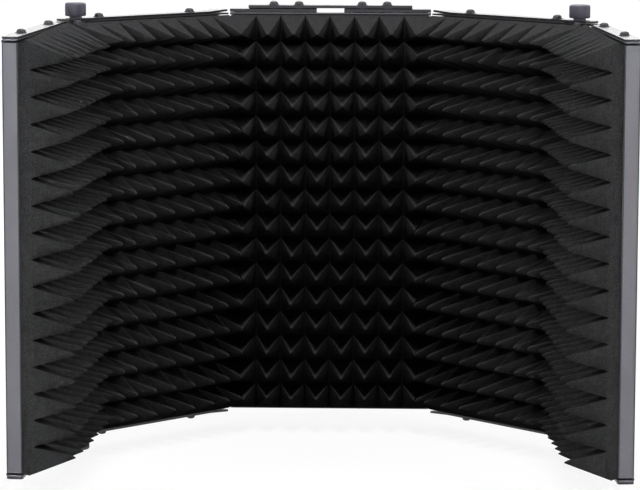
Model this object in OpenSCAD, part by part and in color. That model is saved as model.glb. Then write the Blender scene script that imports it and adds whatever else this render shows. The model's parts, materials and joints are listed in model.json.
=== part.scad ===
// Folding microphone isolation shield.
// Five sheet-metal trays hold pyramid foam pads. Butt hinges behind the centre tray carry
// the two middle trays, and knob-clamped pivots at their far ends carry the two wings.
// +Z is up, the open side faces -Y, and the shield is mirrored about the plane X = 0.

/* [Trays] */
// Width of every tray along its wall
tray_w = 140; // [120:1:180]
// Height of the centre and middle trays
tray_h = 280; // [240:1:340]
// Depth of the tray flanges
tray_d = 10.5; // [9:0.5:14]
// Thickness of the tray sheet
sheet = 1.2; // [0.8:0.1:1.6]
// Outer radius of the sheet bends
bend_r = 1.8; // [1.7:0.1:3]
// Open slit between neighbouring flanges at a tray corner
corner_slit = 0.6; // [0.3:0.1:1.2]
// Diameter of the vent holes in the back sheet
vent_d = 8; // [4:0.5:10]
// Spacing of the vent holes
vent_pitch = 14; // [12:0.5:20]
// Plain margin round the vent holes
vent_margin = 20; // [19:0.5:26]

/* [Foam] */
// Pyramids across a pad
foam_cols = 8; // [6:1:10]
// Pyramids up a pad
foam_rows = 16; // [12:1:18]
// How far the base of the pad stands proud of the flanges
foam_proud = 8.5; // [6:0.5:12]
// Height of the pyramids
pyramid_h = 24.5; // [18:0.5:30]
// Width of a pyramid at half its height, as a share of its base
pyramid_waist = 0.56; // [0.5:0.01:0.6]
// Gap between a pad and the end flanges
foam_end_gap = 0.3; // [0.2:0.1:0.8]
// Gap between a pad and the top and bottom flanges
foam_top_gap = 1; // [0.5:0.1:1.5]
// Gap left between neighbouring pads where they meet
foam_meet_gap = 1.7; // [1.4:0.1:2.5]

/* [Folding] */
// Angle between the centre tray and a middle tray
fold_mid = 45; // [36:1:48]
// Angle between a middle tray and its wing
fold_wing = 40; // [30:1:44]
// Further turn of a wing until the pads meet
close_turn = 3; // [0:0.5:4]
// Gap between the flange corners of the centre and middle trays
corner_gap = 1; // [0.6:0.1:2]

/* [Top clamp] */
// Length of the clamp bar
clamp_bar_l = 114; // [104:1:118]
// Thickness of the clamp bar and the end plates
clamp_t = 2; // [1.5:0.1:3]
// Width of the slot between the two end plates
slot_w = 19.2; // [14:0.2:30]
// Thickness of the washers in the clamp
clamp_washer_t = 0.6; // [0.4:0.1:1]
// Distance of the inner clamp screws from the middle
clamp_screw_in = 22; // [20:0.5:24]
// Distance of the outer clamp screws from the middle
clamp_screw_out = 39.5; // [34:0.5:46]

/* [Bars] */
// Thickness of the bars on the middle trays and wings
bar_t = 1.5; // [1.2:0.1:2]
// Lift of a middle bar at its inner end
bar_lift = 1; // [0:0.1:1.4]
// Length of the lifted stretch
bar_lift_l = 18; // [12:1:24]
// Inner screw of a middle bar, from the tray's inner end
mid_screw_in = 31.5; // [26:0.5:40]
// Outer screw of a middle bar, from the pivot
mid_screw_out = 20; // [17:0.5:26]
// Inner screw of a wing bar, from the tray's hinge end
wing_screw_in = 21.5; // [16:0.5:30]
// Outer screw of a wing bar, from the tray's free end
wing_screw_out = 34.5; // [20:0.5:44]
// Rounding of a wing bar's free corners
bar_round = 2; // [1:0.1:3]
// Length of a middle bar beyond the pivot
bar_nose = 14.8; // [12:0.2:18]

/* [Knob pivots] */
// Distance of the pivot from the outer end of a middle tray
pivot_inset = 8; // [6:0.5:10]
// Distance of a wing's flange edge outside the pivot
wing_offset = 5.5; // [4:0.5:7]
// Radius of the wing bar's ear round the pivot
ear_r = 7.5; // [6.5:0.1:8.5]
// Room between the ear and what it swings past
ear_room = 1.2; // [0.8:0.1:2]
// Thickness of the washer between the two bars
pivot_washer_t = 0.5; // [0.4:0.1:1]
// Diameter of the washer between the two bars
pivot_washer_d = 8; // [7:0.5:10]
// Diameter of the knob's stud
stud_d = 4; // [3:0.5:5]
// Diameter of the knob
knob_d = 14; // [12:0.5:18]
// Height of the knob's grip
knob_h = 9; // [8:0.5:12]
// Grooves round the knob's grip
knurl_count = 40; // [24:1:60]
// Depth of the grooves
knurl_depth = 0.35; // [0.2:0.05:0.6]
// Rounding of the knob's top edge
knob_round = 1.6; // [0.8:0.1:2.5]
// Diameter of the knob's neck
neck_d = 8.3; // [7:0.1:10]
// Height of the knob's neck
neck_h = 1.3; // [0.8:0.1:3]
// Width of the nut across its flats
nut_w = 7; // [6.5:0.5:9]
// Height of the nut
nut_h = 3.2; // [2.4:0.1:4]

/* [Hinges] */
// Height of a butt hinge
hinge_h = 50; // [36:1:70]
// Distance of a hinge's middle from the middle of the shield
hinge_z = 88; // [60:1:96]
// Width of a hinge leaf on the tray
leaf_w = 13; // [11:0.5:15]
// Thickness of a hinge leaf
leaf_t = 1.2; // [0.8:0.1:1.6]
// Outer radius of the hinge knuckles
knuckle_r = 2.4; // [2.2:0.1:3]
// Height of the knuckle in the middle
knuckle_mid_h = 20; // [14:1:26]
// Diameter of the hinge pin
hinge_pin_d = 2.4; // [2:0.1:2.8]
// Height of the hinge pin's heads
pin_head_h = 1; // [0.6:0.1:1.6]
// Diameter of the rivets
rivet_d = 3; // [2.5:0.1:3.4]
// Diameter of the rivet heads
rivet_head_d = 5.6; // [5:0.1:6.4]
// Height of the rivet heads
rivet_head_h = 1; // [0.8:0.1:1.4]
// Distance of the outer rivets from the middle of a leaf
rivet_step = 18; // [13:0.5:22]

/* [Screws] */
// Thread diameter of the screws
screw_d = 3; // [2.5:0.1:3.5]
// Diameter of the screws' domed head
head_d = 6; // [5:0.1:7]
// Height of the dome over the head's rim
head_h = 2.2; // [1.6:0.1:2.4]
// Diameter of the rim under the head
rim_d = 7.4; // [7.2:0.1:8]
// Height of the rim under the head
rim_h = 0.5; // [0.3:0.1:0.8]

/* [Hidden] */
$fn = 48;

// Clearances
hole_play = 0.1;     // round a screw or rivet
run_play = 0.06;     // round a stud or hinge pin
pin_play = 0.3;      // between neighbouring knuckles
leaf_back = 0.2;     // from a knuckle to the back sheet
plate_lap = corner_slit / 2;    // flat strip past a bend, which runs into the back sheet

// Colours
METAL = "#2b2b30";
FOAM = "#1d1d1f";
KNOB = "#57545f";
STEEL = "#8f9094";

// Levels, counted from the middle of the shield's height
mid_top = tray_h / 2;
wing_bar_top = mid_top - pivot_washer_t;
wing_h = 2 * (wing_bar_top - bar_t);
knob_base = mid_top + bar_t;
knob_top = knob_base + neck_h + knob_h;
nut_top = wing_bar_top - bar_t;
end_plate_z = mid_top + clamp_washer_t;
clamp_bar_z = end_plate_z + clamp_t + clamp_washer_t;
clamp_top = clamp_bar_z + clamp_t;

// Inner hinges: the pivot lies behind the back sheets, and the corners close to corner_gap
hinge_back = knuckle_r + leaf_back;
hinge_gap = (tray_d + hinge_back) * tan(fold_mid / 2) + corner_gap / 2 / cos(fold_mid / 2);

// Foam: a pad's ends, pitch and levels, measured from the back of its tray
foam_inset = sheet + foam_end_gap;
pitch_u = (tray_w - 2 * foam_inset) / foam_cols;
foam_lip = tray_d + 1;
foam_root = tray_d + foam_proud;
foam_tip = foam_root + pyramid_h;
slope = pitch_u / 2 / pyramid_h;

// Lean of a middle pad's inner end, which keeps it off the centre pad
pad_end = hinge_gap + foam_inset;
root_n = foam_root + hinge_back;
tip_n = foam_tip + hinge_back;
lean_root = (root_n * sin(fold_mid) - pad_end + foam_meet_gap) / cos(fold_mid) - pad_end;
lean_tip_u = (tip_n * (sin(fold_mid) - slope * cos(fold_mid)) - pad_end + slope * root_n + foam_meet_gap)
    / (cos(fold_mid) + slope * sin(fold_mid));
lean_reach = 2 * pitch_u;
lean_tip = (lean_tip_u - pad_end - pitch_u / 2) / (1 - pitch_u / 2 / lean_reach);

// Outer pivots: the wing starts where its pad just clears the middle pad when closed
pivot_u = tray_w - pivot_inset;
pivot_n = tray_d / 2;
closed = fold_wing + close_turn;
mid_pad_end = pivot_inset - foam_inset;
wing_root_n = foam_proud - wing_offset;
wing_tip_n = wing_root_n + pyramid_h;
start_root = (mid_pad_end + foam_meet_gap + wing_root_n * sin(closed)) / cos(closed);
start_tip = (mid_pad_end + foam_meet_gap + slope * (foam_root - pivot_n)
    + wing_tip_n * (sin(closed) - slope * cos(closed))) / (cos(closed) + slope * sin(closed)) - pitch_u / 2;
start_tray = norm([pivot_inset, pivot_n]) + ear_room + foam_inset;
wing_start = max(start_root, start_tip, start_tray) - foam_inset;
wing_end = wing_start + tray_w;

// Corner cut-outs of the middle trays and pads, which clear the wing bars' ears
cut_u = pivot_u - ear_r - ear_room;
cut_h = mid_top - nut_top + nut_h + 2 * ear_room;

// Reach of the folded shield in front of the centre tray's back, which centres it on Y = 0
pivot_reach = (hinge_gap + pivot_u) * sin(fold_mid) + (pivot_n + hinge_back) * cos(fold_mid) - hinge_back;
wing_angle = fold_mid + fold_wing;
front_reach = pivot_reach + wing_end * sin(wing_angle) - wing_offset * cos(wing_angle);
back_reach = hinge_back + knuckle_r;
back_y = (front_reach - back_reach) / 2;

// Places. In a tray's own frame X runs along the wall, the back sheet lies on Y = 0,
// the foam faces -Y and Z = 0 is the middle of the shield's height.

module at_centre() {
    translate([0, back_y, knob_top])
        children();
}

module at_mid() {
    at_centre()
        translate([tray_w / 2 + hinge_gap, hinge_back, 0])
            rotate([0, 0, -fold_mid])
                translate([hinge_gap, -hinge_back, 0])
                    children();
}

module at_pivot() {
    at_mid()
        translate([pivot_u, -pivot_n, 0])
            children();
}

module at_wing() {
    at_pivot()
        rotate([0, 0, -fold_wing])
            translate([wing_start, tray_d + wing_offset, 0])
                children();
}

module left() {
    mirror([1, 0, 0])
        children();
}

module top_and_bottom() {
    children();
    mirror([0, 0, 1])
        children();
}

module left_and_right() {
    children();
    mirror([1, 0, 0])
        children();
}

// Trays

// Section of a flange and its bend: X is minus the depth, Y minus the distance from the outside
module flange_section() {
    translate([-tray_d, -sheet])
        square([tray_d - bend_r, sheet]);
    translate([-sheet, -bend_r - plate_lap])
        square([sheet, plate_lap]);
    intersection() {
        translate([-bend_r, -bend_r])
            difference() {
                circle(bend_r);
                circle(bend_r - sheet);
            }
        translate([-bend_r, -bend_r])
            square(bend_r);
    }
}

// Vent holes in staggered rows over a field of the given width and height
module vents(w, h) {
    row_pitch = vent_pitch * sin(60);
    cols = floor((w - 2 * vent_margin) / vent_pitch);
    rows = floor((h - 2 * vent_margin) / row_pitch);
    for (j = [0 : rows]) {
        odd = j % 2;
        for (i = [0 : cols - odd])
            translate([(i - (cols - odd) / 2) * vent_pitch, (j - rows / 2) * row_pitch])
                circle(d = vent_d);
    }
}

// A tray with open corners; cut takes the two outer corners away for the wing bars' ears
module tray(h, cut = false) {
    flange_end = cut ? cut_u : tray_w;
    strip_h = h - 2 * (bend_r + corner_slit);
    outer_strip_h = cut ? h - 2 * cut_h : strip_h;
    rotate([90, 0, 0])
        linear_extrude(sheet)
            difference() {
                translate([bend_r, bend_r - h / 2])
                    square([tray_w - 2 * bend_r, h - 2 * bend_r]);
                translate([tray_w / 2, 0])
                    vents(tray_w, h);
                if (cut)
                    for (s = [-1, 1])
                        translate([cut_u, s * (h / 2 - cut_h / 2) - cut_h / 2])
                            square([tray_w, cut_h]);
            }
    top_and_bottom()
        translate([0, 0, h / 2])
            rotate([90, 0, 90])
                linear_extrude(flange_end)
                    flange_section();
    translate([0, 0, -strip_h / 2])
        linear_extrude(strip_h)
            rotate(90)
                flange_section();
    translate([tray_w, 0, -outer_strip_h / 2])
        linear_extrude(outer_strip_h)
            mirror([1, 0])
                rotate(90)
                    flange_section();
}

// Screw holes through the top and bottom flanges at the given places along the wall
module flange_holes(places, h) {
    for (u = places)
        translate([u, -tray_d / 2, -h])
            cylinder(d = screw_d + 2 * hole_play, h = 2 * h);
}

// Rivet places of both hinge leaves, on the back sheet, from the tray's end at X = 0
module at_rivets() {
    for (s = [-1, 1], k = [-1, 0, 1])
        translate([leaf_w / 2, 0, s * hinge_z + k * rivet_step])
            rotate([-90, 0, 0])
                children();
}

module rivet_holes() {
    at_rivets()
        translate([0, 0, -2 * sheet])
            cylinder(d = rivet_d + 2 * hole_play, h = 4 * sheet);
}

mid_screws = [mid_screw_in, pivot_u - mid_screw_out];
wing_screws = [wing_screw_in, tray_w - wing_screw_out];
clamp_screw_places = [-clamp_screw_out, -clamp_screw_in, clamp_screw_in, clamp_screw_out];

module centre_tray() {
    color(METAL)
        at_centre()
            difference() {
                translate([-tray_w / 2, 0, 0])
                    tray(tray_h);
                intersection() {
                    flange_holes(clamp_screw_places, tray_h);
                    translate([-tray_w, -tray_d, 0])
                        cube([2 * tray_w, tray_d, tray_h]);
                }
                left_and_right()
                    translate([tray_w / 2, 0, 0])
                        mirror([1, 0, 0])
                            rivet_holes();
            }
}

module mid_tray() {
    color(METAL)
        at_mid()
            difference() {
                tray(tray_h, cut = true);
                flange_holes(mid_screws, tray_h);
                rivet_holes();
            }
}

module wing_tray() {
    color(METAL)
        at_wing()
            difference() {
                tray(wing_h);
                flange_holes(wing_screws, tray_h);
            }
}

// Foam pads

// Shift of a pad's point along the wall where its inner end leans off the neighbouring pad
function lean(u, n, leaning) =
    let (fade = max(0, 1 - u / lean_reach))
    let (low = (n - foam_lip) / (foam_root - foam_lip))
    let (high = (n - foam_root) / pyramid_h)
    !leaning || low <= 0 ? 0
    : fade * (low < 1 ? low * lean_root : lean_root + high * (lean_tip - lean_root));

// A pad for a tray of the given height, as one closed skin of triangles
module pad(h, leaning = false) {
    pad_w = tray_w - 2 * foam_inset;
    pad_h = h - 2 * (sheet + foam_top_gap);
    pitch_z = pad_h / foam_rows;
    waist_n = (foam_root + foam_tip) / 2;
    function place(u, n, z) = [u + lean(u, n, leaning), -n, z - pad_h / 2];
    corners = [[0, 0], [1, 0], [1, 1], [0, 1]];
    back_in = bend_r - sheet;
    ends = concat(
        [for (c = corners) place(c[0] * pad_w + (1 - 2 * c[0]) * back_in, sheet,
            c[1] * pad_h + (1 - 2 * c[1]) * back_in)],
        [for (c = corners) place(c[0] * pad_w, foam_lip, c[1] * pad_h)]);
    grid = [for (j = [0 : foam_rows]) for (i = [0 : foam_cols]) place(i * pitch_u, foam_root, j * pitch_z)];
    waists = [for (j = [0 : foam_rows - 1]) for (i = [0 : foam_cols - 1]) for (c = corners)
        place((i + 0.5 + (c[0] - 0.5) * pyramid_waist) * pitch_u, waist_n,
            (j + 0.5 + (c[1] - 0.5) * pyramid_waist) * pitch_z)];
    tips = [for (j = [0 : foam_rows - 1]) for (i = [0 : foam_cols - 1])
        place((i + 0.5) * pitch_u, foam_tip, (j + 0.5) * pitch_z)];
    grid_at = len(ends);
    waist_at = grid_at + len(grid);
    tip_at = waist_at + len(waists);
    function g(i, j) = grid_at + j * (foam_cols + 1) + i;
    function pyramid(i, j) =
        let (c = [for (k = corners) g(i + k[0], j + k[1])])
        let (m = waist_at + 4 * (j * foam_cols + i))
        let (t = tip_at + j * foam_cols + i)
        [for (k = [0 : 3]) let (q = (k + 1) % 4)
            each [[c[q], c[k], m + q], [m + q, c[k], m + k], [m + q, m + k, t]]];
    edges = [
        [for (i = [0 : foam_cols]) g(i, 0)],
        [for (j = [0 : foam_rows]) g(foam_cols, j)],
        [for (i = [foam_cols : -1 : 0]) g(i, foam_rows)],
        [for (j = [foam_rows : -1 : 0]) g(0, j)]
    ];
    sides = [for (k = [0 : 3]) let (q = (k + 1) % 4, e = edges[k], last = len(e) - 1)
        each concat(
            [[q, k, 4 + q], [4 + q, k, 4 + k], [4 + q, 4 + k, e[last]]],
            [for (i = [0 : last - 1]) [e[i + 1], 4 + k, e[i]]])];
    faces = concat(
        [for (j = [0 : foam_rows - 1]) for (i = [0 : foam_cols - 1]) each pyramid(i, j)],
        sides, [[0, 1, 2], [0, 2, 3]]);
    translate([foam_inset, 0, 0])
        polyhedron(concat(ends, grid, waists, tips), faces, convexity = 10);
}

module centre_foam() {
    color(FOAM)
        at_centre()
            translate([-tray_w / 2, 0, 0])
                pad(tray_h);
}

module mid_foam() {
    room_n = pivot_n + ear_r + ear_room;
    color(FOAM)
        at_mid()
            difference() {
                pad(tray_h, leaning = true);
                top_and_bottom()
                    translate([cut_u, -room_n, mid_top - cut_h])
                        cube([tray_w, room_n, cut_h]);
            }
}

module wing_foam() {
    color(FOAM)
        at_wing()
            pad(wing_h);
}

// Clamp on top of the centre tray

module clamp_holes() {
    flange_holes(clamp_screw_places, 2 * tray_h);
}

module end_plate() {
    color(METAL)
        at_centre()
            difference() {
                translate([slot_w / 2, -tray_d, end_plate_z])
                    cube([(tray_w - slot_w) / 2, tray_d, clamp_t]);
                clamp_holes();
            }
}

module clamp_bar() {
    color(METAL)
        at_centre()
            difference() {
                translate([-clamp_bar_l / 2, -tray_d, clamp_bar_z])
                    cube([clamp_bar_l, tray_d, clamp_t]);
                clamp_holes();
            }
}

module washer(outer_d, inner_d, t) {
    difference() {
        cylinder(d = outer_d, h = t);
        translate([0, 0, -t])
            cylinder(d = inner_d, h = 3 * t);
    }
}

module clamp_washers() {
    color(STEEL)
        at_centre()
            for (u = clamp_screw_places, z = [mid_top, end_plate_z + clamp_t])
                translate([u, -tray_d / 2, z])
                    washer(rim_d, screw_d + 2 * hole_play, clamp_washer_t);
}

// Domed screw with a rim under its head, standing on Z = 0 with its shank below
module screw(shank) {
    dome_r = (head_d * head_d / 4 + head_h * head_h) / (2 * head_h);
    cylinder(d = rim_d, h = rim_h);
    intersection() {
        translate([0, 0, rim_h + head_h - dome_r])
            sphere(dome_r);
        cylinder(d = head_d, h = rim_h + head_h);
    }
    translate([0, 0, -shank])
        cylinder(d = screw_d, h = shank + rim_h);
}

module clamp_screws() {
    color(METAL)
        at_centre()
            for (u = clamp_screw_places)
                translate([u, -tray_d / 2, clamp_top])
                    screw(clamp_top - mid_top + sheet);
}

// Bars

// Bar on a middle tray's flange: round at the pivot end, lifted a little at the hinge end
module mid_bar() {
    nose_u = pivot_u + bar_nose - tray_d / 2;
    color(METAL)
        at_mid()
            translate([0, 0, mid_top])
                difference() {
                    union() {
                        translate([bar_lift_l, -tray_d, 0])
                            cube([nose_u - bar_lift_l, tray_d, bar_t]);
                        translate([nose_u, -tray_d / 2, 0])
                            cylinder(d = tray_d, h = bar_t);
                        rotate([90, 0, 0])
                            linear_extrude(tray_d)
                                polygon([[corner_gap, bar_lift], [bar_lift_l, 0],
                                    [bar_lift_l, bar_t], [corner_gap, bar_lift + bar_t]]);
                    }
                    flange_holes(mid_screws, 2 * bar_t);
                    translate([pivot_u, -pivot_n, -bar_t])
                        cylinder(d = stud_d + 2 * run_play, h = 3 * bar_t);
                }
}

// Bar on a wing's flange, with an ear that reaches in under the middle bar to the pivot
module wing_bar() {
    bar_out = wing_offset + tray_d;
    arm_u = wing_start - ear_room;
    web_r = 0.98 * ear_r;
    tangent = -atan2(bar_out, arm_u) - acos(web_r / norm([arm_u, bar_out]));
    color(METAL)
        at_wing()
            translate([0, 0, wing_bar_top - bar_t])
                difference() {
                    translate([-wing_start, -bar_out, 0]) {
                        cylinder(r = ear_r, h = bar_t);
                        mirror([0, 1, 0])
                            linear_extrude(bar_t)
                                polygon([[0, 0], [web_r, 0], [web_r, -wing_offset], [wing_end, -wing_offset],
                                    [wing_end, -bar_out], [arm_u, -bar_out],
                                    web_r * [cos(tangent), sin(tangent)]]);
                    }
                    flange_holes(wing_screws, 2 * bar_t);
                    translate([-wing_start, -bar_out, -bar_t])
                        cylinder(d = stud_d + 2 * run_play, h = 3 * bar_t);
                    for (s = [-1, 1])
                        translate([tray_w - bar_round, -tray_d / 2 + s * (tray_d / 2 - bar_round), -bar_t])
                            difference() {
                                translate([0, s < 0 ? -2 * bar_round : 0, 0])
                                    cube([2 * bar_round, 2 * bar_round, 3 * bar_t]);
                                cylinder(r = bar_round, h = 3 * bar_t);
                            }
                }
}

module mid_bar_screws() {
    color(METAL)
        at_mid()
            top_and_bottom()
                for (u = mid_screws)
                    translate([u, -tray_d / 2, knob_base])
                        screw(bar_t + sheet);
}

module wing_bar_screws() {
    color(METAL)
        at_wing()
            top_and_bottom()
                for (u = wing_screws)
                    translate([u, -tray_d / 2, wing_bar_top])
                        screw(bar_t + sheet);
}

// Knob pivots

module pivot_washers() {
    color(STEEL)
        at_pivot()
            top_and_bottom()
                translate([0, 0, wing_bar_top])
                    washer(pivot_washer_d, stud_d + 2 * run_play, pivot_washer_t);
}

// Nuts under the ears, turned with the wing
module pivot_nuts() {
    color(STEEL)
        at_pivot()
            rotate([0, 0, -fold_wing])
                top_and_bottom()
                    translate([0, 0, nut_top - nut_h])
                        difference() {
                            cylinder(d = nut_w / cos(30), h = nut_h, $fn = 6);
                            translate([0, 0, -nut_h])
                                cylinder(d = stud_d + 2 * run_play, h = 3 * nut_h);
                        }
}

stud_seat = knob_base + neck_h + knob_h / 2;

// Revolved core and neck of a knob, with a band of straight grooves below its rounded top
module knob() {
    groove_step = 180 / knurl_count;
    core_r = knob_d / 2 - 1.2 * knurl_depth;
    color(KNOB)
        at_pivot()
            translate([0, 0, knob_base])
                difference() {
                    union() {
                        rotate_extrude() {
                            square([neck_d / 2, neck_h + knob_round]);
                            translate([0, neck_h])
                                square([core_r, knob_h - knob_round]);
                            translate([0, neck_h])
                                square([core_r - knob_round, knob_h]);
                            translate([core_r - knob_round, neck_h + knob_h - knob_round])
                                intersection() {
                                    circle(knob_round);
                                    square(knob_round);
                                }
                        }
                        translate([0, 0, neck_h])
                            linear_extrude(knob_h - knob_round)
                                polygon([for (i = [0 : 2 * knurl_count - 1])
                                    (knob_d / 2 - knurl_depth * (i % 2))
                                        * [cos(i * groove_step), sin(i * groove_step)]]);
                    }
                    translate([0, 0, -neck_h])
                        cylinder(d = stud_d + 2 * run_play, h = stud_seat - knob_base + neck_h);
                }
}

module stud() {
    stud_end = nut_top - nut_h - ear_room / 2;
    color(STEEL)
        at_pivot()
            translate([0, 0, stud_end])
                cylinder(d = stud_d, h = stud_seat - stud_end);
}

// The lower half of a pair, mirrored about the middle of the shield's height
module below() {
    translate([0, 0, knob_top])
        mirror([0, 0, 1])
            translate([0, 0, -knob_top])
                children();
}

// Butt hinges behind the centre tray

// One leaf with the knuckles on the given stretches of its height, from the tray's end at X = 0
module leaf(stretches) {
    difference() {
        union() {
            translate([-hinge_gap + knuckle_r + pin_play, 0, -hinge_h / 2])
                cube([leaf_w + hinge_gap - knuckle_r - pin_play, leaf_t, hinge_h]);
            for (s = stretches) {
                translate([-hinge_gap, 0, s[0]])
                    cube([hinge_gap, leaf_t, s[1] - s[0]]);
                translate([-hinge_gap, hinge_back, s[0]])
                    cylinder(r = knuckle_r, h = s[1] - s[0]);
            }
        }
        translate([-hinge_gap, hinge_back, -hinge_h])
            cylinder(d = hinge_pin_d + 2 * run_play, h = 2 * hinge_h);
        for (k = [-1, 0, 1])
            translate([leaf_w / 2, -leaf_t, k * rivet_step])
                rotate([-90, 0, 0])
                    cylinder(d = rivet_d + 2 * hole_play, h = 3 * leaf_t);
    }
}

module at_hinges() {
    for (s = [-1, 1])
        translate([0, 0, s * hinge_z])
            children();
}

// Right end of the centre tray, turned so that X runs inwards along the tray
module at_centre_end() {
    at_centre()
        translate([tray_w / 2, 0, 0])
            mirror([1, 0, 0])
                children();
}

module fixed_leaves() {
    start = knuckle_mid_h / 2 + pin_play;
    color(METAL)
        at_centre_end()
            at_hinges()
                leaf([[-hinge_h / 2, -start], [start, hinge_h / 2]]);
}

module moving_leaves() {
    color(METAL)
        at_mid()
            at_hinges()
                leaf([[-knuckle_mid_h / 2, knuckle_mid_h / 2]]);
}

module hinge_pins() {
    color(STEEL)
        at_centre_end()
            at_hinges()
                translate([-hinge_gap, hinge_back, 0]) {
                    cylinder(d = hinge_pin_d, h = hinge_h, center = true);
                    top_and_bottom()
                        translate([0, 0, hinge_h / 2])
                            cylinder(r = knuckle_r - leaf_back, h = pin_head_h);
                }
}

module rivets() {
    dome_r = (rivet_head_d * rivet_head_d / 4 + rivet_head_h * rivet_head_h) / (2 * rivet_head_h);
    at_rivets() {
        translate([0, 0, -sheet])
            cylinder(d = rivet_d, h = sheet + leaf_t);
        translate([0, 0, leaf_t])
            intersection() {
                translate([0, 0, rivet_head_h - dome_r])
                    sphere(dome_r);
                cylinder(d = rivet_head_d, h = rivet_head_h);
            }
    }
}

module centre_rivets() {
    color(STEEL)
        left_and_right()
            at_centre_end()
                rivets();
}

module mid_rivets() {
    color(STEEL)
        at_mid()
            rivets();
}

// One module per sub-part
module left_end_plate() { left() end_plate(); }
module right_end_plate() { end_plate(); }
module left_fixed_leaves() { left() fixed_leaves(); }
module right_fixed_leaves() { fixed_leaves(); }
module left_hinge_pins() { left() hinge_pins(); }
module right_hinge_pins() { hinge_pins(); }
module left_mid_tray() { left() mid_tray(); }
module left_mid_foam() { left() mid_foam(); }
module left_mid_top_bar() { left() mid_bar(); }
module left_mid_bottom_bar() { left() below() mid_bar(); }
module left_mid_screws() { left() mid_bar_screws(); }
module left_moving_leaves() { left() moving_leaves(); }
module left_mid_rivets() { left() mid_rivets(); }
module right_mid_tray() { mid_tray(); }
module right_mid_foam() { mid_foam(); }
module right_mid_top_bar() { mid_bar(); }
module right_mid_bottom_bar() { below() mid_bar(); }
module right_mid_screws() { mid_bar_screws(); }
module right_moving_leaves() { moving_leaves(); }
module right_mid_rivets() { mid_rivets(); }
module left_wing_tray() { left() wing_tray(); }
module left_wing_foam() { left() wing_foam(); }
module left_wing_top_bar() { left() wing_bar(); }
module left_wing_bottom_bar() { left() below() wing_bar(); }
module left_wing_screws() { left() wing_bar_screws(); }
module left_wing_nuts() { left() pivot_nuts(); }
module left_wing_washers() { left() pivot_washers(); }
module right_wing_tray() { wing_tray(); }
module right_wing_foam() { wing_foam(); }
module right_wing_top_bar() { wing_bar(); }
module right_wing_bottom_bar() { below() wing_bar(); }
module right_wing_screws() { wing_bar_screws(); }
module right_wing_nuts() { pivot_nuts(); }
module right_wing_washers() { pivot_washers(); }
module left_top_knob() { left() knob(); }
module left_top_stud() { left() stud(); }
module left_bottom_knob() { left() below() knob(); }
module left_bottom_stud() { left() below() stud(); }
module right_top_knob() { knob(); }
module right_top_stud() { stud(); }
module right_bottom_knob() { below() knob(); }
module right_bottom_stud() { below() stud(); }

centre_tray();
centre_foam();
left_end_plate();
right_end_plate();
clamp_bar();
clamp_washers();
clamp_screws();
left_fixed_leaves();
right_fixed_leaves();
left_hinge_pins();
right_hinge_pins();
centre_rivets();
left_mid_tray();
left_mid_foam();
left_mid_top_bar();
left_mid_bottom_bar();
left_mid_screws();
left_moving_leaves();
left_mid_rivets();
right_mid_tray();
right_mid_foam();
right_mid_top_bar();
right_mid_bottom_bar();
right_mid_screws();
right_moving_leaves();
right_mid_rivets();
left_wing_tray();
left_wing_foam();
left_wing_top_bar();
left_wing_bottom_bar();
left_wing_screws();
left_wing_nuts();
left_wing_washers();
right_wing_tray();
right_wing_foam();
right_wing_top_bar();
right_wing_bottom_bar();
right_wing_screws();
right_wing_nuts();
right_wing_washers();
left_top_knob();
left_top_stud();
left_bottom_knob();
left_bottom_stud();
right_top_knob();
right_top_stud();
right_bottom_knob();
right_bottom_stud();
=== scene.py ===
import json
import math
import random

import bmesh
import bpy
from mathutils import Matrix, Vector


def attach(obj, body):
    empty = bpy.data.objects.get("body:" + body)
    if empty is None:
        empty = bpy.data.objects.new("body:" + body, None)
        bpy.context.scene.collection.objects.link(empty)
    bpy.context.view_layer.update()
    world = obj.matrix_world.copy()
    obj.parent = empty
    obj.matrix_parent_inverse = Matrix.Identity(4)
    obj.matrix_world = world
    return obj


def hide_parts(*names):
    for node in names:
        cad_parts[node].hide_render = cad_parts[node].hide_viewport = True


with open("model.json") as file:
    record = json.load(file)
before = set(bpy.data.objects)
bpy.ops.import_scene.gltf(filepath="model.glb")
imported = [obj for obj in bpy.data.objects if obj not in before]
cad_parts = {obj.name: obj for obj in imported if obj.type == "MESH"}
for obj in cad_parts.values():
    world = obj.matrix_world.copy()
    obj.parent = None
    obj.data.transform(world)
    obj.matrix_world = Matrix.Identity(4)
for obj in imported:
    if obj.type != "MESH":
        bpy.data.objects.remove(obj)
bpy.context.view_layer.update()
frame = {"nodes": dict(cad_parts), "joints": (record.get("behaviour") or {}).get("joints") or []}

# View, floor and light. The shield stands on a plain pale floor in soft studio light,
# seen through a long lens from a little above and to the right of its middle.
MM = 0.001
scene = bpy.context.scene
scene.view_settings.view_transform = "Standard"

SENSOR, LENS = 36, 169.3
CAMERA_PLACE = (52.1 * MM, -1981.6 * MM, 420.4 * MM)
CAMERA_PAN, CAMERA_TILT, CAMERA_ROLL = 1.61, 7.92, 0.15
camera = bpy.data.objects.new("camera", bpy.data.cameras.new("camera"))
camera.data.sensor_width = SENSOR
camera.data.lens = LENS
camera.matrix_world = (
    Matrix.Translation(CAMERA_PLACE)
    @ Matrix.Rotation(math.radians(CAMERA_PAN), 4, "Z")
    @ Matrix.Rotation(math.radians(90 - CAMERA_TILT), 4, "X")
    @ Matrix.Rotation(math.radians(CAMERA_ROLL), 4, "Z")
)
scene.collection.objects.link(camera)
scene.camera = camera


def new_material(name):
    """A material with an empty node tree, and the calls that add and link its nodes."""
    material = bpy.data.materials.new(name)
    material.use_nodes = True
    tree = material.node_tree
    tree.nodes.clear()
    return material, tree.nodes.new, tree.links.new


def show(add, link, shader):
    """Makes a shader the surface of its material."""
    link(shader.outputs[0], add("ShaderNodeOutputMaterial").inputs["Surface"])


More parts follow.
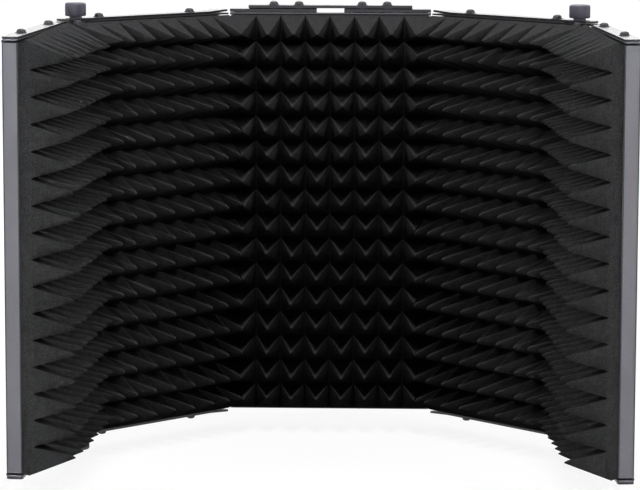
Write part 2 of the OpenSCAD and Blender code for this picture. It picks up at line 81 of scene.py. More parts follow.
def reckon(add, link, operation, *values):
    """Output of a math node whose inputs are sockets or plain numbers."""
    node = add("ShaderNodeMath")
    node.operation = operation
    for socket, value in zip(node.inputs, values):
        if isinstance(value, bpy.types.NodeSocket):
            link(value, socket)
        else:
            socket.default_value = value
    return node.outputs[0]


def remap(add, link, value, given, wanted):
    """Output of a node that carries a socket's value from a given range to the wanted one."""
    node = add("ShaderNodeMapRange")
    for name, level in zip(("From Min", "From Max", "To Min", "To Max"), (*given, *wanted)):
        node.inputs[name].default_value = level
    link(value, node.inputs["Value"])
    return node.outputs["Result"]


def seen_rays(add, link):
    """Socket that is 1 on rays from the camera and on those mirrored or let through to it."""
    path = add("ShaderNodeLightPath")
    glossy, through = path.outputs["Is Glossy Ray"], path.outputs["Is Transmission Ray"]
    bounced = reckon(add, link, "MAXIMUM", glossy, through)
    return reckon(add, link, "MAXIMUM", path.outputs["Is Camera Ray"], bounced)


def build(bm, name, material):
    """Turns a bmesh into an object of one material."""
    mesh = bpy.data.meshes.new(name)
    bm.to_mesh(mesh)
    bm.free()
    mesh.materials.append(material)
    made = bpy.data.objects.new(name, mesh)
    scene.collection.objects.link(made)
    return made


FLOOR_SIZE = 8
FLOOR_GREY = (0.18, 0.18, 0.18, 1)
FLOOR_REACH, FLOOR_WHITE = (0.3, 1.4), (0.89, 1)
floor_paint, add, link = new_material("pale_floor")
floor_lit = add("ShaderNodeBsdfDiffuse")
floor_lit.inputs["Color"].default_value = FLOOR_GREY
floor_away = add("ShaderNodeVectorMath")
floor_away.operation = "LENGTH"
link(add("ShaderNodeTexCoord").outputs["Object"], floor_away.inputs[0])
floor_white = remap(add, link, floor_away.outputs["Value"], FLOOR_REACH, FLOOR_WHITE)
floor_glow = add("ShaderNodeEmission")
link(reckon(add, link, "MULTIPLY", seen_rays(add, link), floor_white), floor_glow.inputs["Strength"])
floor_sum = add("ShaderNodeAddShader")
link(floor_lit.outputs[0], floor_sum.inputs[0])
link(floor_glow.outputs[0], floor_sum.inputs[1])
show(add, link, floor_sum)
bm = bmesh.new()
bmesh.ops.create_grid(bm, x_segments=1, y_segments=1, size=FLOOR_SIZE)
floor = build(bm, "floor", floor_paint)

SKY_LIGHT, SKY_SEEN = 0.05, 1
world = bpy.data.worlds.new("studio")
world.use_nodes = True
scene.world = world
add, link = world.node_tree.nodes.new, world.node_tree.links.new
sky = world.node_tree.nodes["Background"]
sky.inputs["Color"].default_value = (1, 1, 1, 1)
sky_level = remap(add, link, seen_rays(add, link), (0, 1), (SKY_LIGHT, SKY_SEEN))
link(sky_level, sky.inputs["Strength"])


def softbox(name, place, target, size, watts, grid=180):
    """An area lamp turned to a target, with a grid that keeps its light within some degrees."""
    lamp = bpy.data.lights.new(name, "AREA")
    lamp.shape = "RECTANGLE"
    lamp.size, lamp.size_y = size
    lamp.energy = watts
    lamp.spread = math.radians(grid)
    holder = bpy.data.objects.new(name, lamp)
    holder.location = place
    holder.rotation_euler = (Vector(target) - Vector(place)).to_track_quat("-Z", "Y").to_euler()
    scene.collection.objects.link(holder)


SHIELD_MIDDLE = (0, 0, 0.15)
STRIP_SIZE, STRIP_GRID = (0.05, 0.6), 7
softbox("overhead_softbox", (0, -0.25, 1.75), SHIELD_MIDDLE, (0.5, 0.5), 15)
softbox("left_softbox", (-1.4, -0.8, 1.03), SHIELD_MIDDLE, (0.6, 0.6), 6)
softbox("right_softbox", (1.4, -0.8, 1.03), SHIELD_MIDDLE, (0.6, 0.6), 7)
softbox("back_softbox", (0, 1.9, 1.3), SHIELD_MIDDLE, (1.4, 1.4), 16)
softbox("left_strip", (-0.4, -2.3, 0.6), (-0.258, -0.13, 0.15), STRIP_SIZE, 0.28, STRIP_GRID)
softbox("right_strip", (0.4, -2.3, 0.6), (0.258, -0.13, 0.15), STRIP_SIZE, 0.22, STRIP_GRID)

# Trays. Five shallow trays of folded steel sheet, powder-coated dark grey, with vented backs.
# Their edges are broken a little, as a deburred and coated sheet's are. The cut edges of the middle and
# wing trays' lips, and the wings' upright folds, carry painted shade: a near-black coat for their dark
# reflection.
GRAIN_BROAD = 22
GRAIN_FINE_SHARE, GRAIN_BROAD_SHARE = 0.6, 0.4
GRAIN_MEAN, GRAIN_ROUGHENS = 0.5, 0.3


def grain_group():
    """Node group for the fine unevenness of a coat or a turned part."""
    group = bpy.data.node_groups.new("fine_grain", "ShaderNodeTree")
    for name, kind, way in (
        ("Grain Size", "NodeSocketFloat", "INPUT"),
        ("Shade", "NodeSocketColor", "INPUT"),
        ("Roughness", "NodeSocketFloat", "INPUT"),
        ("Contrast", "NodeSocketFloat", "INPUT"),
        ("Color", "NodeSocketColor", "OUTPUT"),
        ("Roughness", "NodeSocketFloat", "OUTPUT"),
        ("Height", "NodeSocketFloat", "OUTPUT"),
    ):
        group.interface.new_socket(name=name, socket_type=kind, in_out=way)
    add, link = group.nodes.new, group.links.new
    given, result = add("NodeGroupInput"), add("NodeGroupOutput")
    place = add("ShaderNodeTexCoord")
    fine = add("ShaderNodeTexNoise")
    fine.inputs["Detail"].default_value = 3
    link(place.outputs["Object"], fine.inputs["Vector"])
    link(given.outputs["Grain Size"], fine.inputs["Scale"])
    broad = add("ShaderNodeTexNoise")
    broad.inputs["Scale"].default_value = GRAIN_BROAD
    broad.inputs["Detail"].default_value = 4
    link(place.outputs["Object"], broad.inputs["Vector"])
    patches = reckon(add, link, "MULTIPLY", broad.outputs["Fac"], GRAIN_BROAD_SHARE)
    both = reckon(add, link, "MULTIPLY_ADD", fine.outputs["Fac"], GRAIN_FINE_SHARE, patches)
    uneven = reckon(add, link, "SUBTRACT", both, GRAIN_MEAN)
    scaled = reckon(add, link, "MULTIPLY", uneven, given.outputs["Contrast"])
    shade = add("ShaderNodeVectorMath")
    shade.operation = "SCALE"
    link(given.outputs["Shade"], shade.inputs[0])
    link(reckon(add, link, "ADD", scaled, 1), shade.inputs["Scale"])
    link(shade.outputs[0], result.inputs["Color"])
    rough = reckon(add, link, "MULTIPLY_ADD", scaled, GRAIN_ROUGHENS, given.outputs["Roughness"])
    link(rough, result.inputs["Roughness"])
    link(fine.outputs["Fac"], result.inputs["Height"])
    return group


fine_grain = grain_group()


def grained(name, shade, roughness, metallic, grain, relief, contrast=0.5):
    """A coat or metal with fine grain: grain is its frequency per metre, relief its height."""
    material, add, link = new_material(name)
    surface = add("ShaderNodeBsdfPrincipled")
    surface.inputs["Metallic"].default_value = metallic
    coat = add("ShaderNodeGroup")
    coat.node_tree = fine_grain
    coat.inputs["Grain Size"].default_value = grain
    coat.inputs["Shade"].default_value = (*shade, 1)
    coat.inputs["Roughness"].default_value = roughness
    coat.inputs["Contrast"].default_value = contrast
    link(coat.outputs["Color"], surface.inputs["Base Color"])
    link(coat.outputs["Roughness"], surface.inputs["Roughness"])
    bump = add("ShaderNodeBump")
    bump.inputs["Distance"].default_value = relief
    link(coat.outputs["Height"], bump.inputs["Height"])
    link(bump.outputs["Normal"], surface.inputs["Normal"])
    show(add, link, surface)
    return material


powder_coat = grained(
    "powder_coat", (0.125, 0.1235, 0.139), roughness=0.38, metallic=0.8, grain=1400, relief=0.03 * MM,
)


def put(bm, name, material, body, slot, *nodes):
    """Turns a bmesh into a piece that rides on a body and stands for CAD nodes."""
    piece = build(bm, name, material)
    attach(piece, body)
    if nodes:
        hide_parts(*nodes)
    return piece


def mark_edges(bm, limit):
    """Smooth faces, with the edges that turn more than limit degrees kept sharp."""
    for face in bm.faces:
        face.smooth = True
    for edge in bm.edges:
        edge.smooth = len(edge.link_faces) == 2 and edge.calc_face_angle() < math.radians(limit)


def round_edges(bm, edges, width):
    """Rounds edges by a width."""
    bmesh.ops.bevel(
        bm, geom=edges, offset=width, affect="EDGES", segments=2, profile=0.5,
        material=-1, clamp_overlap=True,
    )


CAD_WELD = 0.002 * MM
FLAT_ANGLE, SHARP_ANGLE, CREASE_ANGLE = 0.5, 40, 35


def broken_edges(node, body, slot, material, width, shortest=0):
    """The CAD piece again, its sharp edges rounded by width, but none under shortest."""
    bm = bmesh.new()
    bm.from_mesh(frame["nodes"][node].data)
    bmesh.ops.remove_doubles(bm, verts=bm.verts, dist=CAD_WELD)
    if not shortest:
        flat = math.radians(FLAT_ANGLE)
        bmesh.ops.dissolve_limit(bm, angle_limit=flat, verts=bm.verts, edges=bm.edges)
    sharp = [
        edge for edge in bm.edges
        if len(edge.link_faces) == 2
        and edge.calc_face_angle() > math.radians(SHARP_ANGLE)
        and edge.calc_length() > shortest
    ]
    round_edges(bm, sharp, width)
    mark_edges(bm, CREASE_ANGLE)
    piece = put(bm, node + "_piece", material, body, slot, node)
    piece.modifiers.new("even_shading", "WEIGHTED_NORMAL").keep_sharp = True
    return piece


PANELS = ("centre", "left_mid", "right_mid", "left_wing", "right_wing")
TRAY_W, TRAY_H, TRAY_D = 140 * MM, 280 * MM, 10.5 * MM
WING_H = 276 * MM
SHEET = 1.2 * MM
TRAY_ROUND, TRAY_SHORTEST = 0.2 * MM, 2.2 * MM
JOINTS = {joint["name"]: joint for joint in frame["joints"]}
INNER = Vector(JOINTS["right_mid_fold"]["pos_m"])
OUTER = Vector(JOINTS["right_wing_fold"]["pos_m"])
MID_TURN, WING_TURN = math.radians(-45), math.radians(-85)
HINGE_BACK = 2.6 * MM
WING_START, WING_BACK = 15.44 * MM, 16 * MM
FRAMES = {
    "centre": Matrix.Translation((-TRAY_W / 2, INNER.y - HINGE_BACK, INNER.z)),
    "mid": Matrix.Translation(INNER) @ Matrix.Rotation(MID_TURN, 4, "Z")
    @ Matrix.Translation((INNER.x - TRAY_W / 2, -HINGE_BACK, 0)),
    "wing": Matrix.Translation(OUTER) @ Matrix.Rotation(WING_TURN, 4, "Z")
    @ Matrix.Translation((WING_START, WING_BACK, 0)),
}
MIRROR = Matrix.Scale(-1, 4, (1, 0, 0))


def panel_frame(panel):
    """Place of a panel's own frame: X along the wall, Y to the back, Z up from mid-height."""
    matrix = FRAMES[panel.split("_")[-1]]
    return MIRROR @ matrix if panel.startswith("left") else matrix


def with_parts(faces):
    """Faces with their edges and corners, each once, as a cut takes them."""
    return list(dict.fromkeys(part for face in faces for part in (face, *face.edges, *face.verts)))


FOLD_LINE, FOLD_R = 1 * MM, 2 * MM
LIP_NEAR, END_NEAR, END_FLAT = 0.3 * MM, 0.3 * MM, 0.1 * MM
LIP_FACING, END_FACING = 0.8, 0.9
# Painted shade: a near-black coat for the lips' cut edges and the wings' folds, where the coat reflects
# the dark foam.
painted_rim_shade = grained(
    "painted_rim_shade", (0.016, 0.016, 0.018), roughness=0.6, metallic=0.0, grain=1400, relief=0.03 * MM,
)


def paint_rim_shade(tray, panel):
    """Painted shade: a near-black coat on the lip's cut edge, and on a wing's two upright folds beside
    its end wall.
    """
    wing = panel.endswith("wing")
    bm = bmesh.new()
    bm.from_mesh(tray.data)
    bmesh.ops.transform(bm, matrix=panel_frame(panel).inverted(), verts=bm.verts)
    bm.normal_update()
    if wing:
        for depth in (FOLD_LINE, TRAY_D - FOLD_LINE):
            end = [
                face for face in bm.faces
                if face.calc_center_median().x > TRAY_W - END_FLAT and abs(face.normal.x) > END_FACING
            ]
            line = (0, -depth, 0)
            bmesh.ops.bisect_plane(bm, geom=with_parts(end), plane_co=line, plane_no=(0, 1, 0))
    for face in bm.faces:
        middle = face.calc_center_median()
        on_lip = middle.y < LIP_NEAR - TRAY_D and abs(face.normal.y) > LIP_FACING
        on_back_fold = middle.x > TRAY_W - FOLD_R and middle.y > -FOLD_LINE
        on_lip_fold = middle.x > TRAY_W - END_NEAR and middle.y < FOLD_LINE - TRAY_D
        face.material_index = int(on_lip or wing and (on_back_fold or on_lip_fold))
    bmesh.ops.transform(bm, matrix=panel_frame(panel), verts=bm.verts)
    bm.normal_update()
    bm.to_mesh(tray.data)
    bm.free()


for panel in PANELS:
    tray = broken_edges(
        panel + "_tray", panel, "black_metal", powder_coat, TRAY_ROUND, shortest=TRAY_SHORTEST,
    )
    if panel != "centre":
        # The lips and wing folds take the painted shade as the tray's second material.
        tray.data.materials.append(painted_rim_shade)
        paint_rim_shade(tray, panel)

# Foam pads. Each tray holds one block of open-cell foam, wire-cut into square pyramids,
# eight across and sixteen up, and swollen a little over the tray's lips. The middle pads
# are squeezed where they meet the centre pad, and notched for the nuts at their outer corners.
FOAM_COLS, FOAM_ROWS = 8, 16
FOAM_END_GAP, FOAM_TOP_GAP = 0.3 * MM, 1 * MM
FOAM_INSET = SHEET + FOAM_END_GAP
FOAM_W = TRAY_W - 2 * FOAM_INSET
FOAM_LIP, FOAM_ROOT = TRAY_D + 1 * MM, TRAY_D + 7 * MM
PITCH = FOAM_W / FOAM_COLS
PYRAMID_H = 26.8 * MM
PYRAMID_PROFILE = (
    (0.0, 1.0), (0.03, 0.94), (0.1, 0.865), (0.25, 0.735), (0.45, 0.56), (0.65, 0.385),
    (0.8, 0.26), (0.9, 0.18), (0.96, 0.12), (0.99, 0.07), (1.0, 0.02),
)
PAD_BULGE, LIP_BULGE = 0.9 * MM, 0.45 * MM
WING_BULGE_NEAR, WING_BULGE_FAR = 1.5 * MM, 4 * MM
RIM_N = 14.4 * MM
TOP_DROOP, OUTER_LEAN = 1.8 * MM, 6 * MM
LEAN_ROOT, LEAN_TIP = 1.8 * MM, 10 * MM
TIP_DRIFT_U, TIP_DRIFT_Z = 0.5 * MM, 0.4 * MM
NOTCH_U, NOTCH_Z, NOTCH_N = 121.6 * MM, 134 * MM, 9.6 * MM
AT_ROOT = 0.001
RIDGE_ROUND, RIDGE_START, RIDGE_RISE, RIDGE_ANGLE = 0.45 * MM, 0.5 * MM, 0.1 * MM, 38
FOAM_DARK, FOAM_PALE = (0.02, 0.02, 0.0212, 1), (0.076, 0.076, 0.079, 1)
FOAM_DARK_AT, FOAM_PALE_AT = 0.25, 0.95
CELLS, MOTTLE, CUT_MARKS = 1000, 260, 750
STRUT_REACH, STRUT_TONE = (0.02, 0.3), (0.5, 0.0)
MOTTLE_SHARE, CUT_SHARE = 0.4, 0.35

foam, add, link = new_material("open_cell_foam")
foam_surface = add("ShaderNodeBsdfPrincipled")
foam_surface.inputs["Roughness"].default_value = 0.95
foam_surface.inputs["Specular IOR Level"].default_value = 0.0
foam_place = add("ShaderNodeTexCoord")
foam_cells = add("ShaderNodeTexVoronoi")
foam_cells.feature = "DISTANCE_TO_EDGE"
foam_cells.inputs["Scale"].default_value = CELLS
link(foam_place.outputs["Object"], foam_cells.inputs["Vector"])
foam_mottle = add("ShaderNodeTexNoise")
foam_mottle.inputs["Scale"].default_value = MOTTLE
foam_mottle.inputs["Detail"].default_value = 5
link(foam_place.outputs["Object"], foam_mottle.inputs["Vector"])
foam_along = add("ShaderNodeMapping")
foam_along.inputs["Scale"].default_value = (1, 1, 0.1)
link(foam_place.outputs["Object"], foam_along.inputs["Vector"])
foam_cut = add("ShaderNodeTexNoise")
foam_cut.inputs["Scale"].default_value = CUT_MARKS
foam_cut.inputs["Detail"].default_value = 3
link(foam_along.outputs["Vector"], foam_cut.inputs["Vector"])
foam_strut = remap(add, link, foam_cells.outputs["Distance"], STRUT_REACH, STRUT_TONE)
foam_mixed = reckon(add, link, "MULTIPLY_ADD", foam_mottle.outputs["Fac"], MOTTLE_SHARE, foam_strut)
foam_skin = reckon(add, link, "MULTIPLY_ADD", foam_cut.outputs["Fac"], CUT_SHARE, foam_mixed)
foam_tone = add("ShaderNodeValToRGB")
foam_dark, foam_pale = foam_tone.color_ramp.elements
foam_dark.position, foam_dark.color = FOAM_DARK_AT, FOAM_DARK
foam_pale.position, foam_pale.color = FOAM_PALE_AT, FOAM_PALE
link(foam_skin, foam_tone.inputs["Fac"])
link(foam_tone.outputs["Color"], foam_surface.inputs["Base Color"])
foam_relief = add("ShaderNodeBump")
foam_relief.inputs["Strength"].default_value = 0.7
foam_relief.inputs["Distance"].default_value = 0.3 * MM
link(foam_skin, foam_relief.inputs["Height"])
link(foam_relief.outputs["Normal"], foam_surface.inputs["Normal"])
show(add, link, foam_surface)


def place(bm, matrix):
    """Moves a bmesh to its place and turns its faces outwards again if that mirrors it."""
    bmesh.ops.transform(bm, matrix=matrix, verts=bm.verts)
    if matrix.determinant() < 0:
        bmesh.ops.reverse_faces(bm, faces=bm.faces)


def foam_block(bm, middle):
    """Grows the rim of the pad's front down into the tray, with two notches in a middle pad."""
    rim = [edge for edge in bm.edges if edge.is_boundary]
    for level in (FOAM_LIP, NOTCH_N):
        grown = bmesh.ops.extrude_edge_only(bm, edges=rim)["geom"]
        rim = [part for part in grown if isinstance(part, bmesh.types.BMEdge)]
        for vert in {vert for edge in rim for vert in edge.verts}:
            vert.co.z = level
    under = bmesh.ops.contextual_create(bm, geom=rim)["faces"]
    if middle:
        for point, normal in (
            ((NOTCH_U, 0, 0), (1, 0, 0)), ((0, NOTCH_Z, 0), (0, 1, 0)), ((0, -NOTCH_Z, 0), (0, 1, 0)),
        ):
            cut = bmesh.ops.bisect_plane(bm, geom=with_parts(under), plane_co=point, plane_no=normal)
            under = [part for part in cut["geom"] if isinstance(part, bmesh.types.BMFace)]
        centres = {face: face.calc_center_median() for face in under}
        under = [f for f, at in centres.items() if at.x <= NOTCH_U or abs(at.y) <= NOTCH_Z]
    grown = bmesh.ops.extrude_face_region(bm, geom=under)["geom"]
    bmesh.ops.delete(bm, geom=under, context="FACES_ONLY")
    for vert in (part for part in grown if isinstance(part, bmesh.types.BMVert)):
        vert.co.z = SHEET


def rim_swell(u, middle, wing):
    """How far the foam swells over the tray's top and bottom lips, at a place along the wall."""
    if wing:
        return WING_BULGE_FAR + (WING_BULGE_NEAR - WING_BULGE_FAR) * u / FOAM_W
    return PAD_BULGE if u < NOTCH_U or not middle else 0


def squeeze(u, n):
    """Shift along the wall of a middle pad's inner end, where the centre pad pushes it aside."""
    fade = max(0.0, 1 - u / (2 * PITCH))
    low = (n - FOAM_LIP) / (FOAM_ROOT - FOAM_LIP)
    high = (n - FOAM_ROOT) / PYRAMID_H
    if low <= 0:
        return 0.0
    return fade * (low * LEAN_ROOT if low < 1 else LEAN_ROOT + high * (LEAN_TIP - LEAN_ROOT))


def foam_pad(panel, node, height, middle, wing, seed):
    """One pad: a grid of squares grown into pyramids, over a block that fills the tray."""
    tall = height - 2 * (SHEET + FOAM_TOP_GAP)
    row_pitch = tall / FOAM_ROWS
    bm = bmesh.new()
    bmesh.ops.create_grid(bm, x_segments=FOAM_COLS, y_segments=FOAM_ROWS, size=0.5)
    bmesh.ops.scale(bm, vec=(FOAM_W, tall, 1), verts=bm.verts)
    bmesh.ops.translate(bm, vec=(FOAM_W / 2, 0, FOAM_ROOT), verts=bm.verts)
    squares = bm.faces[:]
    foam_block(bm, middle)
    for (h0, w0), (h1, w1) in zip(PYRAMID_PROFILE, PYRAMID_PROFILE[1:]):
        narrower, higher = (w0 - w1) * PITCH / 2, (h1 - h0) * PYRAMID_H
        bmesh.ops.inset_individual(
            bm, faces=squares, thickness=narrower, depth=higher, use_even_offset=True,
        )

    drift = random.Random(seed)
    tips = {
        (i, j): (drift.gauss(0, TIP_DRIFT_U), drift.gauss(0, TIP_DRIFT_Z))
        for i in range(FOAM_COLS) for j in range(FOAM_ROWS)
    }
    for vert in bm.verts:
        u, z, n = vert.co
        rise = (n - FOAM_ROOT) / PYRAMID_H
        swell = rim_swell(u, middle, wing)
        if rise < AT_ROOT:
            at_rim = abs(z) > tall / 2 - SHEET / 2
            if at_rim and n > FOAM_LIP - SHEET:
                vert.co.y += math.copysign(swell if n > FOAM_LIP + SHEET else LIP_BULGE, z)
            if at_rim and rise > -AT_ROOT:
                vert.co.z = RIM_N
        else:
            column, row = int(u / PITCH), int((z + tall / 2) / row_pitch)
            tip_u, tip_z = (column + 0.5) * PITCH, (row + 0.5) * row_pitch - tall / 2
            if column in (0, FOAM_COLS - 1) and abs(u - FOAM_W / 2) > abs(tip_u - FOAM_W / 2):
                end = FOAM_W if column else 0
                vert.co.x = end + (tip_u - end) * rise
            if row in (0, FOAM_ROWS - 1):
                foot, tip = tall / 2 + swell, abs(tip_z) - TOP_DROOP
                along = (n - RIM_N) / (FOAM_ROOT + PYRAMID_H - RIM_N)
                outer, inner = foot + (tip - foot) * along, abs(z) - TOP_DROOP * rise
                vert.co.y = math.copysign(outer if abs(z) > abs(tip_z) else inner, z)
            if column == FOAM_COLS - 1 and wing:
                vert.co.x += (FOAM_W - tip_u) * rise
            elif column == FOAM_COLS - 1 and middle:
                vert.co.x -= OUTER_LEAN * rise
            vert.co.x += tips[column, row][0] * rise
            vert.co.y += tips[column, row][1] * rise
        if middle:
            vert.co.x += squeeze(u, n)

    ridges = []
    for edge in bm.edges:
        low, high = sorted(vert.co.z for vert in edge.verts)
        if low > FOAM_ROOT + RIDGE_START and high - low > RIDGE_RISE:
            ridges.append(edge)
    round_edges(bm, ridges, RIDGE_ROUND)
    bmesh.ops.recalc_face_normals(bm, faces=bm.faces)
    mark_edges(bm, RIDGE_ANGLE)
    bmesh.ops.translate(bm, vec=(FOAM_INSET, 0, 0), verts=bm.verts)
    place(bm, panel_frame(panel) @ Matrix.Rotation(math.pi / 2, 4, "X"))
    pad = put(bm, node + "_pad", foam, panel, "foam", node)


for seed, panel in enumerate(PANELS):
    wing, middle = panel.endswith("wing"), panel.endswith("mid")
    foam_pad(panel, panel + "_foam", WING_H if wing else TRAY_H, middle, wing, seed)

# Screws. Black domed machine screws with a wide rim and a cross recess, driven down on
# the bars and plates. Their shanks end inside the trays' flanges.
SCREW_RIM_R, SCREW_RIM_H = 3.7 * MM, 0.5 * MM
SCREW_RIM_ROUND, SCREW_RIM_LOW, SCREW_RIM_HIGH = 0.1 * MM, 0.12 * MM, SCREW_RIM_H * 0.9
SCREW_HEAD_R, SCREW_HEAD_H, SCREW_DOME = 3 * MM, 2.2 * MM, 0.75
SCREW_SHANK_R = 1.5 * MM
SCREW_STEPS, DOME_STEPS, SCREW_WELD, SCREW_ANGLE = 40, 9, 0.005 * MM, 30
SCREW_TURN, SCREW_FLIP_TURN = 1.1, 0.5
RECESS_SIZE, RECESS_TAPER, RECESS_TURN = (3.8 * MM, 0.95 * MM, 2.6 * MM), 0.45, 0.4
RECESS_MIDDLE = SCREW_RIM_H + SCREW_HEAD_H - 0.45 * MM
black_oxide = grained(
    "black_oxide", (0.05, 0.05, 0.055), roughness=0.26, metallic=0.7, grain=2600, relief=0.01 * MM,
)


def lathe(profile, steps, weld):
    """A bmesh spun from a profile of radii and heights."""
    bm = bmesh.new()
    chain = [bm.verts.new((radius, 0, height)) for radius, height in profile]
    edges = [bm.edges.new(pair) for pair in zip(chain, chain[1:])]
    bmesh.ops.spin(
        bm, geom=chain + edges, axis=(0, 0, 1), cent=(0, 0, 0), angle=2 * math.pi, steps=steps,
        use_merge=True,
    )
    bmesh.ops.remove_doubles(bm, verts=bm.verts, dist=weld)
    return bm


def screw_mesh(shank):
    """One screw on Z = 0, spun from its profile, with the recess cut into its dome."""
    profile = [
        (0, -shank), (SCREW_SHANK_R, -shank), (SCREW_SHANK_R, 0), (SCREW_RIM_R - SCREW_RIM_ROUND, 0),
        (SCREW_RIM_R, SCREW_RIM_LOW), (SCREW_RIM_R - SCREW_RIM_ROUND, SCREW_RIM_HIGH),
    ]
    for step in range(DOME_STEPS + 1):
        angle = math.pi / 2 * step / DOME_STEPS
        radius = SCREW_HEAD_R * max(0.0, math.cos(angle)) ** SCREW_DOME
        profile.append((radius, SCREW_RIM_H + SCREW_HEAD_H * math.sin(angle) ** SCREW_DOME))
    bm = lathe(profile, SCREW_STEPS, SCREW_WELD)
    bmesh.ops.recalc_face_normals(bm, faces=bm.faces)
    blank = build(bm, "screw_blank", black_oxide)
    bm = bmesh.new()
    for turn in (0, math.pi / 2):
        blade = bmesh.ops.create_cube(bm, size=1)["verts"]
        bmesh.ops.scale(bm, vec=RECESS_SIZE, verts=blade)
        for vert in blade:
            if vert.co.z < 0:
                vert.co.x *= RECESS_TAPER
        bmesh.ops.rotate(bm, matrix=Matrix.Rotation(turn + RECESS_TURN, 3, "Z"), verts=blade)
    bmesh.ops.translate(bm, vec=(0, 0, RECESS_MIDDLE), verts=bm.verts)
    cutter = build(bm, "screw_recess", black_oxide)
    cut = blank.modifiers.new("recess", "BOOLEAN")
    cut.operation = "DIFFERENCE"
    cut.object = cutter
    cut.solver = "EXACT"
    cut.use_self = True
    depsgraph = bpy.context.evaluated_depsgraph_get()
    made = bpy.data.meshes.new_from_object(blank.evaluated_get(depsgraph))
    for temporary in (blank, cutter):
        bpy.data.objects.remove(temporary)
    return made


def screws(node, panel, places, level, shank, below):
    """All the screws of one node: at these places along the wall, on top and if asked below."""
    bm = bmesh.new()
    one = screw_mesh(shank)
    for k, u in enumerate(places):
        for flip in (1, -1) if below else (1,):
            known = len(bm.verts)
            bm.from_mesh(one)
            spun = Matrix.Rotation(SCREW_TURN * k + SCREW_FLIP_TURN * flip, 4, "Z")
            upright = Matrix.Rotation(0 if flip > 0 else math.pi, 4, "X")
            at = Matrix.Translation((u, -TRAY_D / 2, flip * level))
            bmesh.ops.transform(bm, matrix=at @ upright @ spun, verts=bm.verts[known:])
            bm.verts.ensure_lookup_table()
    mark_edges(bm, SCREW_ANGLE)
    place(bm, panel_frame(panel))
    put(bm, node + "_set", black_oxide, panel, "black_screw", node)


SIDES = ("left", "right")
BAR_T = 1.5 * MM
CLAMP_PLACES = [TRAY_W / 2 + x * MM for x in (-39.5, -22, 22, 39.5)]
CLAMP_TOP, CLAMP_SHANK = TRAY_H / 2 + 5.2 * MM, 6.4 * MM
MID_PLACES, MID_TOP = (31.5 * MM, 112 * MM), TRAY_H / 2 + BAR_T
WING_PLACES, WING_TOP = (21.5 * MM, 105.5 * MM), WING_H / 2 + BAR_T
BAR_SHANK = BAR_T + SHEET
screws("clamp_screws", "centre", CLAMP_PLACES, CLAMP_TOP, CLAMP_SHANK, below=False)
for side in SIDES:
    screws(side + "_mid_screws", side + "_mid", MID_PLACES, MID_TOP, BAR_SHANK, below=True)
    screws(side + "_wing_screws", side + "_wing", WING_PLACES, WING_TOP, BAR_SHANK, below=True)

# Clamp and bars. Flat steel strips: the clamp bar and its end plates on the centre tray,
# and the bars that carry the knob pivots. They have a smoother, glossier coat than the trays.
# Two thin near-black strips behind the seams under the clamp bar and its end plates are painted shade: no
# light shows through.
CLAMP_ROUND, BAR_ROUND = 0.25 * MM, 0.2 * MM
SHADE_STRIP_W, SHADE_STRIP_H, SHADE_STRIP_FRONT = 1.2 * MM, 0.6 * MM, -0.4 * MM
SEAM_SHADE_STRIPS = {
    "upper_seam_shade": (TRAY_H / 2 + 2.6 * MM, ((-57, -9.7), (9.7, 57))),
    "lower_seam_shade": (TRAY_H / 2, ((-68, -9.7), (9.7, 68))),
}
gloss_coat = grained(
    "gloss_coat", (0.06, 0.06, 0.067), roughness=0.26, metallic=0.7, grain=900, relief=0.02 * MM,
    contrast=0.4,
)
# A near-black coat for the strips of painted shade in the clamp seams.
seam_shade_black = grained(
    "seam_shade_black", (0.012, 0.012, 0.013), roughness=0.7, metallic=0.0, grain=1200, relief=0.04 * MM,
)
for node in ("clamp_bar", "left_end_plate", "right_end_plate"):
    broken_edges(node, "centre", "black_metal", gloss_coat, CLAMP_ROUND)
# Painted shade: near-black strips behind the clamp seams, so no light shows through the gaps.
for name, (level, spans) in SEAM_SHADE_STRIPS.items():
    bm = bmesh.new()
    for start, end in spans:
        strip = bmesh.ops.create_cube(bm, size=1)["verts"]
        bmesh.ops.scale(bm, vec=((end - start) * MM, SHADE_STRIP_W, SHADE_STRIP_H), verts=strip)
        middle = (TRAY_W / 2 + (start + end) / 2 * MM, SHADE_STRIP_FRONT - SHADE_STRIP_W / 2, level + SHADE_STRIP_H / 2)
        bmesh.ops.translate(bm, vec=middle, verts=strip)
    place(bm, panel_frame("centre"))
    put(bm, name, seam_shade_black, "centre", "knob")
for panel in PANELS[1:]:
    for level in ("top", "bottom"):
        broken_edges(f"{panel}_{level}_bar", panel, "black_metal", gloss_coat, BAR_ROUND)

# Washers and nuts. Dark plated washers in the clamp, bright zinc-plated ones between
# the pivot bars, and dark hexagon nuts under the ears of the wing bars.
WASHER_ROUND, NUT_ROUND = 0.08 * MM, 0.25 * MM
zinc_plate = grained(
    "zinc_plate", (0.55, 0.55, 0.57), roughness=0.3, metallic=1.0, grain=3200, relief=0.01 * MM,
)
dark_plate = grained(
    "dark_plate", (0.1, 0.1, 0.11), roughness=0.3, metallic=0.9, grain=3200, relief=0.01 * MM,
)
broken_edges("clamp_washers", "centre", "steel", dark_plate, WASHER_ROUND)
for side in SIDES:
    broken_edges(side + "_wing_washers", side + "_wing", "steel", zinc_plate, WASHER_ROUND)
    broken_edges(side + "_wing_nuts", side + "_wing", "steel", dark_plate, NUT_ROUND)

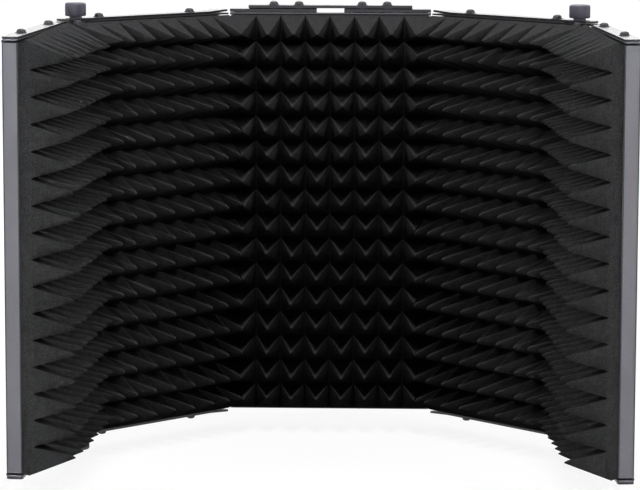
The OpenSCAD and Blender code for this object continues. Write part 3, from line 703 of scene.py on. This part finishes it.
# Knobs and studs. Turned grips with a fine straight knurl, a rounded crown and a narrow neck,
# each fixed on a plain steel stud that goes down through both bars.
KNOB_R, KNOB_H, KNOB_ROUND, KNOB_ROUND_STEPS = 7 * MM, 9 * MM, 1.6 * MM, 6
KNOB_FOOT_IN, KNOB_FOOT_UP = 0.6 * MM, 0.5 * MM
CROWN_R, CROWN_FLAT_R, CROWN_SINK = KNOB_R - 2.2 * MM, KNOB_R - 2.7 * MM, 0.25 * MM
NECK_R, NECK_H = 4.15 * MM, 1.3 * MM
STUD_R, STUD_ROUND = 2.06 * MM, 0.25 * MM
STUD_SEAT = NECK_H + KNOB_H / 2
KNOB_BASE, KNOB_TOP = TRAY_H / 2 + BAR_T, NECK_H + KNOB_H
KNURLS, KNURL_DEPTH, KNURL_REACH = 64, 0.22 * MM, 0.25 * MM
KNURL_WAVE = (0.0, 0.35, 1.0, 0.35)
KNOB_WELD, KNOB_ANGLE = 0.003 * MM, 45
grip = grained(
    "grip_grey", (0.105, 0.098, 0.128), roughness=0.42, metallic=0.25, grain=1800, relief=0.03 * MM,
)


def knob_bmesh():
    """A knob on Z = 0 with its bore, spun from its profile, with its knurl pushed in."""
    profile = [
        (0, STUD_SEAT), (STUD_R, STUD_SEAT), (STUD_R, 0), (NECK_R, 0), (NECK_R, NECK_H),
        (KNOB_R - KNOB_FOOT_IN, NECK_H), (KNOB_R, NECK_H + KNOB_FOOT_UP), (KNOB_R, KNOB_TOP - KNOB_ROUND),
    ]
    for step in range(1, KNOB_ROUND_STEPS + 1):
        angle = math.pi / 2 * step / KNOB_ROUND_STEPS
        radius = KNOB_R - KNOB_ROUND * (1 - math.cos(angle))
        profile.append((radius, KNOB_TOP - KNOB_ROUND * (1 - math.sin(angle))))
    profile += [(CROWN_R, KNOB_TOP), (CROWN_FLAT_R, KNOB_TOP - CROWN_SINK), (0, KNOB_TOP - CROWN_SINK)]
    columns = len(KNURL_WAVE) * KNURLS
    bm = lathe(profile, columns, KNOB_WELD)
    for vert in bm.verts:
        radius = math.hypot(vert.co.x, vert.co.y)
        if radius > KNOB_R - KNURL_REACH and NECK_H < vert.co.z < KNOB_TOP:
            column = round(math.atan2(vert.co.y, vert.co.x) / (2 * math.pi) * columns)
            depth = KNURL_DEPTH * KNURL_WAVE[column % len(KNURL_WAVE)]
            vert.co.x *= (radius - depth) / radius
            vert.co.y *= (radius - depth) / radius
    bmesh.ops.recalc_face_normals(bm, faces=bm.faces)
    return bm


for side in SIDES:
    for level, turn in (("top", 0), ("bottom", math.pi)):
        clamp = f"{side}_{level}_clamp"
        bm = knob_bmesh()
        mark_edges(bm, KNOB_ANGLE)
        upright = Matrix.Rotation(turn, 4, "X")
        at = Matrix.Translation(OUTER) @ upright @ Matrix.Translation((0, 0, KNOB_BASE))
        place(bm, MIRROR @ at if side == "left" else at)
        put(bm, f"{side}_{level}_knob_grip", grip, clamp, "knob", f"{side}_{level}_knob")
        broken_edges(f"{side}_{level}_stud", clamp, "steel", zinc_plate, STUD_ROUND)

# Hinges. Pairs of steel butt hinges behind the joins of the centre and middle trays:
# coated leaves with rolled knuckles, bright pins, and rivets through the trays' backs.
LEAF_ROUND, PIN_ROUND, RIVET_ROUND = 0.2 * MM, 0.15 * MM, 0.08 * MM
for side in SIDES:
    broken_edges(side + "_fixed_leaves", "centre", "black_metal", gloss_coat, LEAF_ROUND)
    broken_edges(side + "_moving_leaves", side + "_mid", "black_metal", gloss_coat, LEAF_ROUND)
    broken_edges(side + "_hinge_pins", "centre", "steel", zinc_plate, PIN_ROUND)
    broken_edges(side + "_mid_rivets", side + "_mid", "steel", zinc_plate, RIVET_ROUND)
broken_edges("centre_rivets", "centre", "steel", zinc_plate, RIVET_ROUND)
